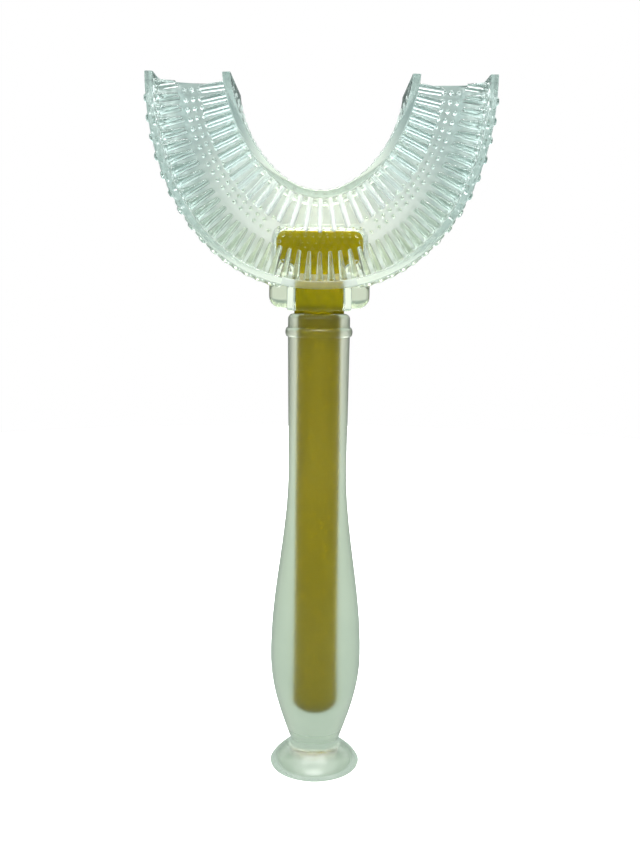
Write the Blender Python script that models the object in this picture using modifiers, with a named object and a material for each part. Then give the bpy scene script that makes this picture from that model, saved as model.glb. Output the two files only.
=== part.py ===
"""A child's U-shaped toothbrush that stands on a suction foot.

The brush head is an arch of clear silicone in the XZ plane. Its wall runs round the outside of the teeth, a
second wall runs round the tongue side, and a floor across the middle splits it into two tooth channels, one that
faces -Y and one that faces +Y. A flat T on the handle's core pushes up into a slot in that floor. The core's rod
is moulded into a soft grip that ends in a suction foot. The origin is the centre of the foot's rim, +Z is up.
Lengths are in metres.
"""

import math

import bmesh
import bpy
from mathutils import Matrix, Vector

# Fits
FIT_GAP = 0.0003
CUT_OVERRUN = 0.001

# Suction foot
FOOT_HEIGHT = 0.0050
FOOT_RADIUS = 0.0088
FOOT_NECK_HEIGHT = 0.0008
FOOT_EDGE_HEIGHT = 0.0004
CUP_RADIUS = 0.0070
CUP_DEPTH = 0.0024

# Grip
GRIP_LENGTH = 0.0837
WAIST_RADIUS = 0.0048
BULB_RADIUS = 0.00878
BULB_HEIGHT = 0.0172
NECK_RADIUS = 0.00554
NECK_HEIGHT = 0.0547
TOP_RADIUS = 0.0058
TOP_ROUND = 0.0010
BEAD_RADIUS = 0.0009
BEAD_STAND = 0.0005
BEAD_DROP = 0.0034

# Handle core
ROD_RADIUS = 0.00295
ROD_COVER = 0.0056
ROD_END_ROUND = 0.0026
TONGUE_TAIL_WIDTH = 0.0044
TONGUE_TAIL_LENGTH = 0.0030
STEM_WIDTH = 0.0093
PLATE_WIDTH = 0.0163
PLATE_HEIGHT = 0.0063
PLATE_THICKNESS = 0.0026
PLATE_RISE = 0.0051
PLATE_TOP_CORNER = 0.0020
PLATE_LOW_CORNER = 0.0022
CORE_EDGE = 0.0003

# Socket collar
COLLAR_HEIGHT = 0.0031
COLLAR_WIDTH = 0.0187
COLLAR_CORNER = 0.0022
WING_DEPTH = 0.0038
BOSS_WIDTH = 0.0120
BOSS_DEPTH = 0.0064
BOSS_EDGE = 0.0006

# Brush head walls and floor; a span runs across a tooth channel and both its walls
HEAD_HEIGHT = 0.0370
HEAD_WIDTH = 0.0614
HEAD_DEPTH = 0.0220
FRONT_SPAN = 0.01755
ARM_SPAN = 0.0156
SKIN_THICKNESS = 0.0007
STRIP_THICKNESS = 0.0006
FLOOR_THICKNESS = 0.0020
SOCKET_WALL = 0.0009
SOCKET_CORNER = 0.0026
OUTER_CURVE_POWER = 2.15
INNER_CURVE_POWER = 1.76

# Bristles and floor nubs
OUTER_COLUMNS = (11, 11, 12, 11, 11)
INNER_COLUMNS = (6, 6, 7, 6, 6)
BRISTLE_ROW_SHARES = (0.30, 0.74)
BRISTLE_BASE_RADIUS = 0.00074
BRISTLE_TIP_RADIUS = 0.00036
BRISTLE_ROOT = 0.0003
OUTER_TIP_LENGTH = 0.0037
OUTER_FRONT_LENGTH = 0.0046
INNER_TIP_LENGTH = 0.0036
INNER_FRONT_LENGTH = 0.0045
NUB_COLUMN_PITCH = 0.0014
NUB_ROW_PITCH = 0.0034
NUB_BASE_RADIUS = 0.0006
NUB_TIP_RADIUS = 0.0003
NUB_HEIGHT = 0.0014
NUB_STRIP_WIDTH = 0.0044
TOOTH_GROUPS = ("left_molars", "left_canine", "incisors", "right_canine", "right_molars")

# Numbers of sides and steps
ROUND_SIDES = 40
CURVE_STEPS = 480
OUTER_FACETS = 60
INNER_FACETS = 40
FLOOR_FACETS = 48
FACETS_PER_COLUMN = 1
CORNER_STEPS = 5
PROFILE_STEPS = 9
STRAND_SIDES = 3
SHARP_ANGLE = math.radians(35)
FLAT_ANGLE = math.radians(0.5)

# Places that follow from the sizes above
GRIP_BOTTOM_Z = FOOT_HEIGHT + FIT_GAP
GRIP_TOP_Z = GRIP_BOTTOM_Z + GRIP_LENGTH
BORE_RADIUS = ROD_RADIUS + FIT_GAP
BORE_BOTTOM_Z = GRIP_BOTTOM_Z + ROD_COVER
ROD_BOTTOM_Z = BORE_BOTTOM_Z + FIT_GAP
SHOULDER_Z = GRIP_TOP_Z + FIT_GAP
ROD_TOP_Z = SHOULDER_Z + FIT_GAP / 2
COLLAR_BOTTOM_Z = SHOULDER_Z + FIT_GAP
HEAD_BOTTOM_Z = COLLAR_BOTTOM_Z + COLLAR_HEIGHT + FIT_GAP
HEAD_TIP_Z = HEAD_BOTTOM_Z + HEAD_HEIGHT
TONGUE_SPACE_HEIGHT = HEAD_HEIGHT - FRONT_SPAN
TONGUE_SPACE_WIDTH = HEAD_WIDTH - 2 * ARM_SPAN
PLATE_BOTTOM_Z = HEAD_BOTTOM_Z + PLATE_RISE
PLATE_TOP_Z = PLATE_BOTTOM_Z + PLATE_HEIGHT
SLOT_HALF_WIDTH = PLATE_WIDTH / 2 + FIT_GAP
SLOT_HALF_DEPTH = PLATE_THICKNESS / 2 + FIT_GAP
SLOT_TOP_Z = PLATE_TOP_Z + FIT_GAP
SOCKET_HALF_WIDTH = SLOT_HALF_WIDTH + SOCKET_WALL
SOCKET_HALF_DEPTH = SLOT_HALF_DEPTH + SOCKET_WALL
SOCKET_TOP_Z = SLOT_TOP_Z + SOCKET_WALL
STRIP_OFFSET = SKIN_THICKNESS + FIT_GAP
WALL_THICKNESS = STRIP_OFFSET + STRIP_THICKNESS


class Arch:
    """A curve in the XZ plane from the left tip round the front to the right tip, walked by distance."""

    def __init__(self, points):
        self.points = points
        self.distances = [0]
        for start, end in zip(points, points[1:]):
            self.distances.append(self.distances[-1] + (end - start).length)
        self.length = self.distances[-1]

    def at(self, distance):
        """The point at a distance, and the direction there that leads away from the tongue."""
        distance = min(max(distance, 0), self.length)
        step = 1
        while step < len(self.points) - 1 and self.distances[step] < distance:
            step += 1
        start, end = self.points[step - 1], self.points[step]
        along = (distance - self.distances[step - 1]) / (end - start).length
        tangent = (end - start).normalized()
        return start.lerp(end, along), Vector((tangent.z, 0, -tangent.x))

    def moved_out(self, amount):
        """The same curve moved away from the tongue, or towards it where the amount is negative."""
        moved = []
        for index, point in enumerate(self.points):
            before = self.points[max(index - 1, 0)]
            after = self.points[min(index + 1, len(self.points) - 1)]
            tangent = (after - before).normalized()
            moved.append(point + amount * Vector((tangent.z, 0, -tangent.x)))
        return Arch(moved)

    def spread(self, start, end, count):
        """Evenly spaced points from one distance to another."""
        return [self.at(start + (end - start) * step / count)[0] for step in range(count + 1)]

    def reach(self, half_width):
        """How far from the front the curve runs before it is this far from the middle."""
        middle = self.length / 2
        step = self.length / len(self.points)
        distance = 0
        while distance < middle and abs(self.at(middle + distance)[0].x) < half_width:
            distance += step
        return distance


def arch(width, height, power):
    """Half of a superellipse with its open ends up at the tips."""
    points = []
    for step in range(CURVE_STEPS + 1):
        angle = math.pi * step / CURVE_STEPS
        across = -math.copysign(abs(math.cos(angle)) ** (2 / power), math.cos(angle))
        down = max(math.sin(angle), 0) ** (2 / power)
        points.append(Vector((width / 2 * across, 0, HEAD_TIP_Z - height * down)))
    return Arch(points)


def clear_scene():
    for item in list(bpy.data.objects):
        bpy.data.objects.remove(item, do_unlink=True)
    for group in list(bpy.data.collections):
        bpy.data.collections.remove(group)


def new_collection(name):
    group = bpy.data.collections.new(name)
    bpy.context.scene.collection.children.link(group)
    return group


def plastic(name, colour, roughness, alpha=1):
    """A Principled material; a clear silicone has an alpha under 1."""
    found = bpy.data.materials.new(name)
    found.use_nodes = True
    shader = found.node_tree.nodes["Principled BSDF"]
    shader.inputs["Base Color"].default_value = (*colour, 1)
    shader.inputs["Roughness"].default_value = roughness
    shader.inputs["Metallic"].default_value = 0
    shader.inputs["Alpha"].default_value = alpha
    return found


def new_object(name, shape, group):
    if isinstance(shape, bmesh.types.BMesh):
        mesh = bpy.data.meshes.new(name)
        shape.to_mesh(mesh)
        shape.free()
        shape = mesh
    item = bpy.data.objects.new(name, shape)
    group.objects.link(item)
    return item


def as_cutter(item):
    item.hide_render = True
    item.display_type = "WIRE"
    return item


def boolean(item, other, operation):
    modifier = item.modifiers.new(operation.lower(), "BOOLEAN")
    modifier.operation = operation
    modifier.object = other
    modifier.solver = "EXACT"


def settle(item, material):
    """Makes the modifiers' result the object's own mesh, smooth with sharp edges, in its own material."""
    graph = bpy.context.evaluated_depsgraph_get()
    mesh = bpy.data.meshes.new_from_object(item.evaluated_get(graph))
    item.modifiers.clear()
    item.data = mesh
    mesh.materials.clear()
    mesh.materials.append(material)
    mesh.shade_smooth()
    mesh.set_sharp_from_angle(angle=SHARP_ANGLE)
    return item


def arc(centre_x, centre_z, radius, start_degrees, end_degrees):
    """Points round a corner of an outline in the XZ plane."""
    points = []
    for step in range(CORNER_STEPS + 1):
        angle = math.radians(start_degrees + (end_degrees - start_degrees) * step / CORNER_STEPS)
        points.append((centre_x + radius * math.cos(angle), centre_z + radius * math.sin(angle)))
    return points


def slab(name, outline, depth, group):
    """A closed outline in the XZ plane, thick along Y and centred on the XZ plane."""
    curve = bpy.data.curves.new(name, "CURVE")
    curve.dimensions = "2D"
    curve.fill_mode = "BOTH"
    curve.extrude = depth / 2
    spline = curve.splines.new("POLY")
    spline.points.add(len(outline) - 1)
    for point, (x, z) in zip(spline.points, outline):
        point.co = (x, z, 0, 1)
    spline.use_cyclic_u = True
    drawn = bpy.data.objects.new(name + "_outline", curve)
    drawn.rotation_euler = (math.pi / 2, 0, 0)
    group.objects.link(drawn)
    bpy.context.view_layer.update()
    graph = bpy.context.evaluated_depsgraph_get()
    mesh = bpy.data.meshes.new_from_object(drawn.evaluated_get(graph))
    mesh.transform(drawn.matrix_world)
    bpy.data.objects.remove(drawn, do_unlink=True)
    shape = bmesh.new()
    shape.from_mesh(mesh)
    bpy.data.meshes.remove(mesh)
    bmesh.ops.remove_doubles(shape, verts=shape.verts, dist=FIT_GAP / 100)
    bmesh.ops.recalc_face_normals(shape, faces=shape.faces)
    bmesh.ops.dissolve_limit(shape, angle_limit=FLAT_ANGLE, verts=shape.verts, edges=shape.edges)
    return new_object(name, shape, group)


def block(name, width, depth, bottom_z, top_z, group):
    """A box centred on the Z axis."""
    shape = bmesh.new()
    size = Matrix.Diagonal((width, depth, top_z - bottom_z, 1))
    place = Matrix.Translation((0, 0, (bottom_z + top_z) / 2))
    bmesh.ops.create_cube(shape, size=1, matrix=place @ size)
    return new_object(name, shape, group)


def turned(name, profile, group):
    """A profile of (radius, height) turned about the Z axis; it starts and ends on the axis."""
    shape = bmesh.new()
    corners = [shape.verts.new((radius, 0, z)) for radius, z in profile]
    for start, end in zip(corners, corners[1:]):
        shape.edges.new((start, end))
    item = new_object(name, shape, group)
    screw = item.modifiers.new("turn", "SCREW")
    screw.steps = ROUND_SIDES
    screw.render_steps = ROUND_SIDES
    screw.use_merge_vertices = True
    screw.merge_threshold = FIT_GAP / 100
    screw.use_smooth_shade = True
    return item


def band(name, curve, start, end, facets, low_y, high_y, thickness, group):
    """A strip of wall along an arch, thickened towards the tongue, or away from it if thickness is negative."""
    shape = bmesh.new()
    corners = [shape.verts.new((point.x, low_y, point.z)) for point in curve.spread(start, end, facets)]
    edges = [shape.edges.new(pair) for pair in zip(corners, corners[1:])]
    swept = bmesh.ops.extrude_edge_only(shape, edges=edges)["geom"]
    moved = [part for part in swept if isinstance(part, bmesh.types.BMVert)]
    bmesh.ops.translate(shape, verts=moved, vec=(0, high_y - low_y, 0))
    shape.normal_update()
    point, outward = curve.at(start)
    first = min(shape.faces, key=lambda face: (face.calc_center_median() - point).length)
    if first.normal.dot(outward) < 0:
        bmesh.ops.reverse_faces(shape, faces=shape.faces)
    item = new_object(name, shape, group)
    wall = item.modifiers.new("wall", "SOLIDIFY")
    wall.thickness = abs(thickness)
    wall.offset = -math.copysign(1, thickness)
    wall.use_even_offset = True
    return item


def ribbon(name, outer, inner, facets, thickness, group, spans=None):
    """A flat strip between two arches, centred on the XZ plane."""
    shape = bmesh.new()
    chains = []
    outer_span, inner_span = spans or ((0, outer.length), (0, inner.length))
    for curve, (start, end) in ((outer, outer_span), (inner, inner_span)):
        corners = [shape.verts.new(point) for point in curve.spread(start, end, facets)]
        chains += [shape.edges.new(pair) for pair in zip(corners, corners[1:])]
    bmesh.ops.bridge_loops(shape, edges=chains)
    bmesh.ops.recalc_face_normals(shape, faces=shape.faces)
    item = new_object(name, shape, group)
    sheet = item.modifiers.new("sheet", "SOLIDIFY")
    sheet.thickness = thickness
    sheet.offset = 0
    return item


def add_strand(shape, root, direction, length, base_radius, tip_radius):
    """One tapered bristle that starts a little inside its backing."""
    whole = length + BRISTLE_ROOT
    middle = root + direction * (whole / 2 - BRISTLE_ROOT)
    turn = direction.to_track_quat("Z", "Y").to_matrix().to_4x4()
    bmesh.ops.create_cone(
        shape,
        cap_ends=True,
        segments=STRAND_SIDES,
        radius1=base_radius,
        radius2=tip_radius,
        depth=whole,
        matrix=Matrix.Translation(middle) @ turn,
    )


# The arch of the head: its outside face, its tongue face, and the faces that carry bristles
outside = arch(HEAD_WIDTH, HEAD_HEIGHT, OUTER_CURVE_POWER)
tongue = arch(TONGUE_SPACE_WIDTH, TONGUE_SPACE_HEIGHT, INNER_CURVE_POWER)
outer_strip_back = outside.moved_out(-STRIP_OFFSET)
inner_strip_back = tongue.moved_out(STRIP_OFFSET)
outer_face = outside.moved_out(-WALL_THICKNESS)
inner_face = tongue.moved_out(WALL_THICKNESS)


def make_foot(group):
    """A solid disc on a short neck, domed above, with a shallow suction cup below."""
    profile = [(0, FOOT_HEIGHT), (WAIST_RADIUS, FOOT_HEIGHT)]
    dome_top = FOOT_HEIGHT - FOOT_NECK_HEIGHT
    for step in range(PROFILE_STEPS + 1):
        angle = math.pi / 2 * step / PROFILE_STEPS
        fall = step / PROFILE_STEPS
        radius = WAIST_RADIUS + (FOOT_RADIUS - WAIST_RADIUS) * (fall + math.sin(angle)) / 2
        profile.append((radius, dome_top - (dome_top - FOOT_EDGE_HEIGHT) * fall))
    profile += [(FOOT_RADIUS, 0), (CUP_RADIUS, 0)]
    for step in range(1, CORNER_STEPS + 1):
        angle = math.pi / 2 * step / CORNER_STEPS
        profile.append((CUP_RADIUS * math.cos(angle), CUP_DEPTH * math.sin(angle)))
    profile[-1] = (0, CUP_DEPTH)
    return turned("suction_foot", profile, group)


def make_grip(group):
    """The soft sleeve: a bulb above the waist, a slim neck, a bead under the rounded top, and the rod's bore."""
    bulb_z = GRIP_BOTTOM_Z + BULB_HEIGHT
    neck_z = GRIP_BOTTOM_Z + NECK_HEIGHT
    bead_z = GRIP_TOP_Z - BEAD_DROP
    profile = [(0, BORE_BOTTOM_Z), (BORE_RADIUS, BORE_BOTTOM_Z), (BORE_RADIUS, GRIP_TOP_Z)]
    for step in range(CORNER_STEPS + 1):
        angle = math.pi / 2 * (1 - step / CORNER_STEPS)
        side = TOP_RADIUS - TOP_ROUND + TOP_ROUND * math.cos(angle)
        profile.append((side, GRIP_TOP_Z - TOP_ROUND + TOP_ROUND * math.sin(angle)))
    for step in range(CORNER_STEPS + 1):
        angle = math.pi * step / CORNER_STEPS
        side = TOP_RADIUS + BEAD_STAND * math.sin(angle)
        profile.append((side, bead_z + BEAD_RADIUS * math.cos(angle)))
    for step in range(PROFILE_STEPS + 1):
        rise = 1 - step / PROFILE_STEPS
        swell = (1 + math.cos(math.pi * rise)) / 2
        radius = NECK_RADIUS + (BULB_RADIUS - NECK_RADIUS) * swell
        profile.append((radius, bulb_z + (neck_z - bulb_z) * rise))
    for step in range(1, PROFILE_STEPS + 1):
        rise = 1 - step / PROFILE_STEPS
        radius = WAIST_RADIUS + (BULB_RADIUS - WAIST_RADIUS) * math.sin(math.pi / 2 * rise)
        profile.append((radius, GRIP_BOTTOM_Z + BULB_HEIGHT * rise))
    profile.append((0, GRIP_BOTTOM_Z))
    return turned("grip_sleeve", profile, group)


def make_core(group, cutters):
    """The rigid core: a round rod with a flat stem and a T-shaped plate on top."""
    profile = [(0, ROD_TOP_Z), (ROD_RADIUS, ROD_TOP_Z)]
    end_round = min(ROD_END_ROUND, ROD_RADIUS)
    for step in range(CORNER_STEPS + 1):
        angle = math.pi / 2 * step / CORNER_STEPS
        side = ROD_RADIUS - end_round + end_round * math.cos(angle)
        profile.append((side, ROD_BOTTOM_Z + end_round - end_round * math.sin(angle)))
    profile.append((0, ROD_BOTTOM_Z))
    rod = as_cutter(turned("core_rod", profile, cutters))

    plate_half, stem_half, tail_half = PLATE_WIDTH / 2, STEM_WIDTH / 2, TONGUE_TAIL_WIDTH / 2
    low_corner = min(PLATE_LOW_CORNER, (plate_half - stem_half) * 2 / 3)
    fillet = plate_half - stem_half - low_corner
    right = [(tail_half, ROD_TOP_Z - TONGUE_TAIL_LENGTH), (tail_half, SHOULDER_Z), (stem_half, SHOULDER_Z)]
    right += arc(stem_half + fillet, PLATE_BOTTOM_Z - fillet, fillet, 180, 90)
    right += arc(plate_half - low_corner, PLATE_BOTTOM_Z + low_corner, low_corner, -90, 0)[1:]
    right += arc(plate_half - PLATE_TOP_CORNER, PLATE_TOP_Z - PLATE_TOP_CORNER, PLATE_TOP_CORNER, 0, 90)
    left = [(-x, z) for x, z in reversed(right)]
    core = slab("handle_core", right + left, PLATE_THICKNESS, group)
    edge = core.modifiers.new("edge", "BEVEL")
    edge.width = CORE_EDGE
    edge.segments = 1
    edge.limit_method = "ANGLE"
    edge.angle_limit = math.radians(60)
    boolean(core, rod, "UNION")
    return core


def make_collar(group, cutters):
    """The silicone lip that grips the stem: a boss round it and a wing on each side, under the outer wall."""
    wall_line = outside.moved_out(FIT_GAP)
    middle = wall_line.length / 2
    reach = wall_line.reach(COLLAR_WIDTH / 2)
    top = [(point.x, point.z) for point in wall_line.spread(middle + reach, middle - reach, FLOOR_FACETS // 4)]
    corner = min(COLLAR_CORNER, COLLAR_HEIGHT)
    half = top[0][0]
    bottom = arc(corner - half, COLLAR_BOTTOM_Z + corner, corner, 180, 270)
    bottom += arc(half - corner, COLLAR_BOTTOM_Z + corner, corner, 270, 360)
    wings = slab("socket_collar", top + bottom, WING_DEPTH, group)
    reach = wall_line.reach(BOSS_WIDTH / 2)
    arched = wall_line.spread(middle + reach, middle - reach, FLOOR_FACETS // 8)
    outline = [(point.x, point.z) for point in arched]
    half = outline[0][0]
    outline += [(-half, COLLAR_BOTTOM_Z + BOSS_EDGE), (BOSS_EDGE - half, COLLAR_BOTTOM_Z)]
    outline += [(half - BOSS_EDGE, COLLAR_BOTTOM_Z), (half, COLLAR_BOTTOM_Z + BOSS_EDGE)]
    boss = as_cutter(slab("collar_boss", outline, BOSS_DEPTH, cutters))
    hole = as_cutter(
        block(
            "collar_hole",
            STEM_WIDTH + 2 * FIT_GAP,
            PLATE_THICKNESS + 2 * FIT_GAP,
            COLLAR_BOTTOM_Z - CUT_OVERRUN,
            HEAD_BOTTOM_Z + CUT_OVERRUN,
            cutters,
        )
    )
    boolean(wings, boss, "UNION")
    boolean(wings, hole, "DIFFERENCE")
    return wings


def make_slot(cutters):
    """The room for the plate: open below, so that the head pulls off upwards."""
    bottom_z = HEAD_BOTTOM_Z - CUT_OVERRUN
    return as_cutter(
        block("plate_slot", 2 * SLOT_HALF_WIDTH, 2 * SLOT_HALF_DEPTH, bottom_z, SLOT_TOP_Z, cutters)
    )


def make_floor(group, cutters, slot):
    """The floor between the two channels, with the socket that thickens it round the plate."""
    outer_edge = outside.moved_out(-STRIP_OFFSET)
    inner_edge = tongue.moved_out(STRIP_OFFSET)
    floor = ribbon("channel_floor", outer_edge, inner_edge, FLOOR_FACETS, FLOOR_THICKNESS, group)
    middle = outer_edge.length / 2
    reach = outer_edge.reach(SOCKET_HALF_WIDTH)
    low = outer_edge.spread(middle - reach, middle + reach, FLOOR_FACETS // 4)
    half = low[-1].x
    corner = min(SOCKET_CORNER, half)
    outline = [(point.x, point.z) for point in low]
    outline += arc(half - corner, SOCKET_TOP_Z - corner, corner, 0, 90)
    outline += arc(corner - half, SOCKET_TOP_Z - corner, corner, 90, 180)
    socket = as_cutter(slab("socket_block", outline, 2 * SOCKET_HALF_DEPTH, cutters))
    boolean(floor, socket, "UNION")
    boolean(floor, slot, "DIFFERENCE")
    return floor


def bristle_length(curve, distance, tip_length, front_length):
    """Bristles grow from the tips of the arms to the front teeth."""
    half_width = curve.points[-1].x
    share = 1 - abs(curve.at(distance)[0].x) / half_width
    return tip_length + (front_length - tip_length) * share


def make_bristles(side, wall, group, cutters):
    """The bristle strips of one wall in one channel, one strip for each group of teeth."""
    is_outer = wall == "outer"
    columns = OUTER_COLUMNS if is_outer else INNER_COLUMNS
    back = outer_strip_back if is_outer else inner_strip_back
    face = outer_face if is_outer else inner_face
    thickness = STRIP_THICKNESS if is_outer else -STRIP_THICKNESS
    tip_length = OUTER_TIP_LENGTH if is_outer else INNER_TIP_LENGTH
    front_length = OUTER_FRONT_LENGTH if is_outer else INNER_FRONT_LENGTH
    channel = "upper" if side < 0 else "lower"
    far_y = HEAD_DEPTH / 2
    total = sum(columns)
    done = 0
    made = []
    for tooth_group, count in zip(TOOTH_GROUPS, columns):
        near_y = FLOOR_THICKNESS / 2 + FIT_GAP
        if is_outer and tooth_group == "incisors":
            near_y = SOCKET_HALF_DEPTH + FIT_GAP
        start = back.length * done / total + FIT_GAP / 2
        end = back.length * (done + count) / total - FIT_GAP / 2
        name = f"{channel}_{wall}_bristles_{tooth_group}"
        low_y, high_y = sorted((side * near_y, side * far_y))
        strip = band(name, back, start, end, count * FACETS_PER_COLUMN, low_y, high_y, thickness, group)
        strands = bmesh.new()
        for column in range(done, done + count):
            distance = face.length * (column + 0.5) / total
            point, outward = face.at(distance)
            direction = -outward if is_outer else outward
            length = bristle_length(face, distance, tip_length, front_length)
            for share in BRISTLE_ROW_SHARES:
                y = side * (near_y + (far_y - near_y) * share)
                root = Vector((point.x, y, point.z))
                add_strand(strands, root, direction, length, BRISTLE_BASE_RADIUS, BRISTLE_TIP_RADIUS)
        boolean(strip, as_cutter(new_object(name + "_strands", strands, cutters)), "UNION")
        made.append(strip)
        done += count
    return made


def make_nubs(side, group, cutters):
    """The short nubs on the channel floor: a strip along each arm and one on the socket."""
    channel = "upper" if side < 0 else "lower"
    middle_line = Arch(
        [
            (outer_face.at(outer_face.length * step / CURVE_STEPS)[0]
             + inner_face.at(inner_face.length * step / CURVE_STEPS)[0]) / 2
            for step in range(CURVE_STEPS + 1)
        ]
    )
    half_strip = NUB_STRIP_WIDTH / 2
    middle = middle_line.length / 2
    socket_reach = middle_line.reach(SOCKET_HALF_WIDTH)
    arm_start = middle_line.reach(SOCKET_HALF_WIDTH + FIT_GAP + half_strip / 2)
    spans = {
        "left": (0, middle - arm_start, FLOOR_THICKNESS / 2),
        "front": (middle - socket_reach + half_strip / 2, middle + socket_reach - half_strip / 2, SOCKET_HALF_DEPTH),
        "right": (middle + arm_start, middle_line.length, FLOOR_THICKNESS / 2),
    }
    wide, narrow = middle_line.moved_out(half_strip), middle_line.moved_out(-half_strip)
    made = []
    for place, (start, end, floor_y) in spans.items():
        rows = max(round((end - start) / NUB_ROW_PITCH), 1)
        back_y = side * (floor_y + FIT_GAP + STRIP_THICKNESS / 2)
        name = f"{channel}_floor_nubs_{place}"
        wide_span = (wide.length * start / middle_line.length, wide.length * end / middle_line.length)
        narrow_span = (narrow.length * start / middle_line.length, narrow.length * end / middle_line.length)
        strip = ribbon(name, wide, narrow, rows, STRIP_THICKNESS, group, (wide_span, narrow_span))
        strip.data.transform(Matrix.Translation((0, back_y, 0)))
        strands = bmesh.new()
        for row in range(rows):
            point, outward = middle_line.at(start + (end - start) * (row + 0.5) / rows)
            for column in (-1, 0, 1):
                root = point + column * NUB_COLUMN_PITCH * outward
                root.y = back_y + side * STRIP_THICKNESS / 2
                add_strand(strands, root, Vector((0, side, 0)), NUB_HEIGHT, NUB_BASE_RADIUS, NUB_TIP_RADIUS)
        boolean(strip, as_cutter(new_object(name + "_strands", strands, cutters)), "UNION")
        made.append(strip)
    return made


clear_scene()
pieces = new_collection("u_shaped_toothbrush")
helpers = new_collection("cutters")
silicone_colours = (0.42, 0.52, 0.47)
yellow = (0.30, 0.22, 0.006)

foot = make_foot(pieces)
grip = make_grip(pieces)
core = make_core(pieces, helpers)
collar = make_collar(pieces, helpers)
plate_slot = make_slot(helpers)
half_depth = HEAD_DEPTH / 2
outer_wall = band(
    "outer_wall", outside, 0, outside.length, OUTER_FACETS, -half_depth, half_depth, SKIN_THICKNESS, pieces
)
boolean(outer_wall, plate_slot, "DIFFERENCE")
inner_wall = band(
    "inner_wall", tongue, 0, tongue.length, INNER_FACETS, -half_depth, half_depth, -SKIN_THICKNESS, pieces
)
channel_floor = make_floor(pieces, helpers, plate_slot)
strips = []
for channel_side in (-1, 1):
    strips += make_bristles(channel_side, "outer", pieces, helpers)
    strips += make_bristles(channel_side, "inner", pieces, helpers)
    strips += make_nubs(channel_side, pieces, helpers)

bpy.context.view_layer.update()
settle(foot, plastic("foot_silicone", silicone_colours, 0.45, 0.6))
settle(grip, plastic("grip_silicone", silicone_colours, 0.45, 0.5))
settle(core, plastic("core_plastic", yellow, 0.35))
for clear_piece in [collar, outer_wall, inner_wall, channel_floor, *strips]:
    settle(clear_piece, plastic(clear_piece.name + "_silicone", silicone_colours, 0.2, 0.4))
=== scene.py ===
import math

import bmesh
import bpy
import numpy as np
from mathutils import Matrix, Vector


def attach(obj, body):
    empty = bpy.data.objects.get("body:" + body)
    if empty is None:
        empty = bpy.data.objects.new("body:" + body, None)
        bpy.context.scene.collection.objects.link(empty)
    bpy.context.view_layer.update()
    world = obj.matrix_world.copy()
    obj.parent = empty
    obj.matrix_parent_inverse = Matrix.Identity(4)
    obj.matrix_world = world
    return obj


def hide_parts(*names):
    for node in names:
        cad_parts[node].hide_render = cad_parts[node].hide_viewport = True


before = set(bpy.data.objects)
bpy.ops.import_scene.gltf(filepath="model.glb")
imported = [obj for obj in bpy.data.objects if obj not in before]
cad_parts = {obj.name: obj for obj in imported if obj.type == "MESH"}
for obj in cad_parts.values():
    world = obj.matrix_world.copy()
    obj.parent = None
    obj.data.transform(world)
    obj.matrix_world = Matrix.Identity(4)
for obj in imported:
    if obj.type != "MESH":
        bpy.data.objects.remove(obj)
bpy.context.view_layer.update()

# ---------------------------------------------------------------------------------------------------------
# Handle core: one injection moulding of yellow polypropylene. A flat stem with a round-cornered plate on top
# holds the brush head, and the round rod below it is what the soft grip is moulded round.
# ---------------------------------------------------------------------------------------------------------
MM = 0.001
NEAR = 0.01 * MM
STEM_HALF_WIDTH = 4.65 * MM
STEM_BOTTOM = 88.95 * MM
PLATE_HALF_WIDTH = 8.15 * MM
PLATE_HALF_THICKNESS = 1.3 * MM
PLATE_BOTTOM = 98.1 * MM
PLATE_TOP = 104.4 * MM
PLATE_TOP_CORNER = 2.0 * MM
PLATE_LOW_CORNER = 2.2 * MM
PLATE_ARMPIT = 1.2 * MM
PLATE_EDGE = 0.8 * MM
ROD_RADIUS = 2.95 * MM
ROD_BOTTOM = 11.9 * MM
ROD_TOP = 89.45 * MM
ROD_END_ROUND = 2.6 * MM


def deselect():
    bpy.ops.object.select_all(action="DESELECT")


def work_on(piece):
    """Makes this the only selected piece."""
    deselect()
    piece.select_set(True)
    bpy.context.view_layer.objects.active = piece


def pick(kind, test):
    """In edit mode, selects the faces or edges whose middle passes the test, and no others."""
    bpy.ops.mesh.select_mode(type=kind)
    bpy.ops.mesh.select_all(action="DESELECT")
    mesh = bmesh.from_edit_mesh(bpy.context.edit_object.data)
    for part in mesh.faces if kind == "FACE" else mesh.edges:
        middle = sum((corner.co for corner in part.verts), Vector()) / len(part.verts)
        part.select_set(bool(test(middle, part)))
    bmesh.update_edit_mesh(bpy.context.edit_object.data)


def runs_along(edge, axis):
    """True if an edge is parallel to an axis, 0 to 2 for x to z."""
    way = edge.verts[1].co - edge.verts[0].co
    return abs(way[axis]) > 0.999 * way.length


def borders_front(edge):
    """True if an edge lies between a flat front or back and a side."""
    flat = [abs(face.normal.y) > 0.99 for face in edge.link_faces]
    return any(flat) and not all(flat)


def add_box(name, low, high):
    """A box between two opposite corners."""
    deselect()
    middle = [(a + b) / 2 for a, b in zip(low, high)]
    bpy.ops.mesh.primitive_cube_add(size=1, location=middle)
    box = bpy.context.object
    box.name = box.data.name = name
    box.scale = [b - a for a, b in zip(low, high)]
    bpy.ops.object.transform_apply(location=True, rotation=True, scale=True)
    return box


def combine(piece, other, operation):
    """Joins another solid to a piece, or cuts it out, and removes it."""
    work_on(piece)
    joint = piece.modifiers.new(operation, "BOOLEAN")
    joint.operation = operation
    joint.object = other
    joint.solver = "MANIFOLD"
    bpy.ops.object.modifier_apply(modifier=joint.name)
    bpy.data.objects.remove(other)


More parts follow.
